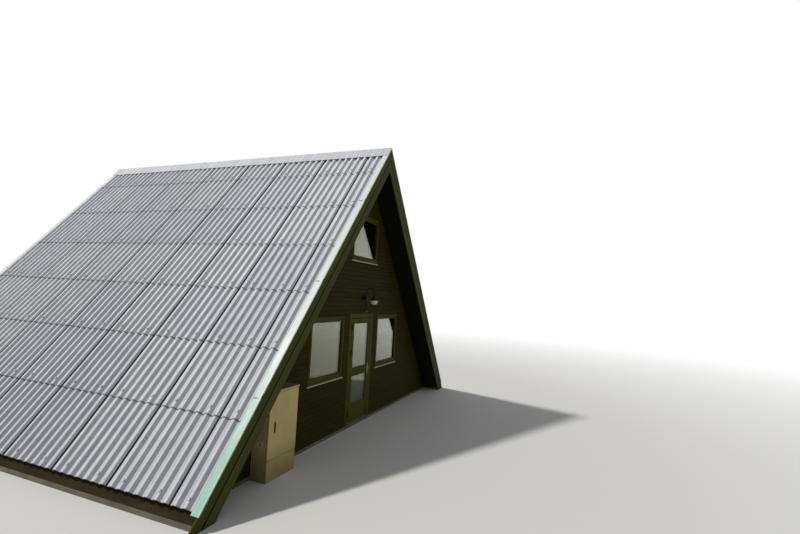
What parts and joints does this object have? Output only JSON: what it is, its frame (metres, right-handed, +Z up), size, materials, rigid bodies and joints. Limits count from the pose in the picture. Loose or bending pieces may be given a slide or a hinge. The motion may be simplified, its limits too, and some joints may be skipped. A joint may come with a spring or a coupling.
{
  "type": "a-frame cabin",
  "caption": "A-frame holiday cabin with corrugated roof slopes down to the ground, boarded gables set back under the verges, a glazed door and a meter cabinet.",
  "frame": {"origin": "on the ground, midway between the slopes and the two verges", "axes": "+X to the right across the front gable, +Y from the front to the back along the ridge, +Z up"},
  "size_m": [9.3608, 8.098, 5.6868],
  "materials": {
    "concrete": "rough",
    "roof_timber": "rough sawn, dark stained",
    "floor_boards": "planed",
    "fibre_cement": "matt, weathered",
    "verge_metal": "satin, chalky",
    "barge_board": "dark green stain",
    "wall_boards": "dark brown stain",
    "green_frame": "dark olive paint",
    "pane": "clear",
    "sill_metal": "satin",
    "dark_iron": "satin black",
    "handle_metal": "satin",
    "opal_glass": "white opal",
    "cabinet_shell": "matt, weathered beige",
    "cabinet_grip": "matt black"
  },
  "bodies": {
    "root": {"left_footing": "concrete", "right_footing": "concrete", "ground_floor": "concrete", "loft_floor": "floor_boards", "left_roof_slab": "roof_timber", "right_roof_slab": "roof_timber", "left_battens": "roof_timber", "right_battens": "roof_timber", "left_roof_sheets": "fibre_cement", "right_roof_sheets": "fibre_cement", "ridge_cap": "fibre_cement", "front_verge_caps": "verge_metal", "back_verge_caps": "verge_metal", "front_outer_boards": "barge_board", "front_inner_boards": "barge_board", "back_outer_boards": "barge_board", "back_inner_boards": "barge_board", "front_wall_left": "wall_boards", "front_wall_right": "wall_boards", "front_wall_over_door": "wall_boards", "back_wall": "wall_boards", "front_left_window": "green_frame", "front_right_window": "green_frame", "front_attic_window": "green_frame", "back_left_window": "green_frame", "back_right_window": "green_frame", "back_attic_window": "green_frame", "front_glass": "pane", "back_glass": "pane", "front_sills": "sill_metal", "back_sills": "sill_metal", "door_frame": "green_frame", "door_threshold": "sill_metal", "lamp_bracket": "dark_iron", "lamp_shade": "dark_iron", "lamp_bowl": "opal_glass", "cabinet_base": "cabinet_shell", "cabinet_body": "cabinet_shell", "cabinet_lid": "cabinet_shell"},
    "door": {"door_leaf": "green_frame", "door_glass": "pane", "door_hinges": "dark_iron", "door_handle": "handle_metal"},
    "cabinet_door": {"cabinet_door": "cabinet_shell", "cabinet_handle": "cabinet_grip"}
  },
  "joints": [
    {"name": "door_hinge", "type": "hinge", "parent": "root", "child": "door", "pos_m": [-0.425, -3.6033, 1.116], "axis": [0, 0, -1], "range_deg": [0, 100]},
    {"name": "cabinet_hinge", "type": "hinge", "parent": "root", "child": "cabinet_door", "pos_m": [-2.5622, -3.861, 0.7425], "axis": [0, 0, 1], "range_deg": [0, 110]}
  ]
}
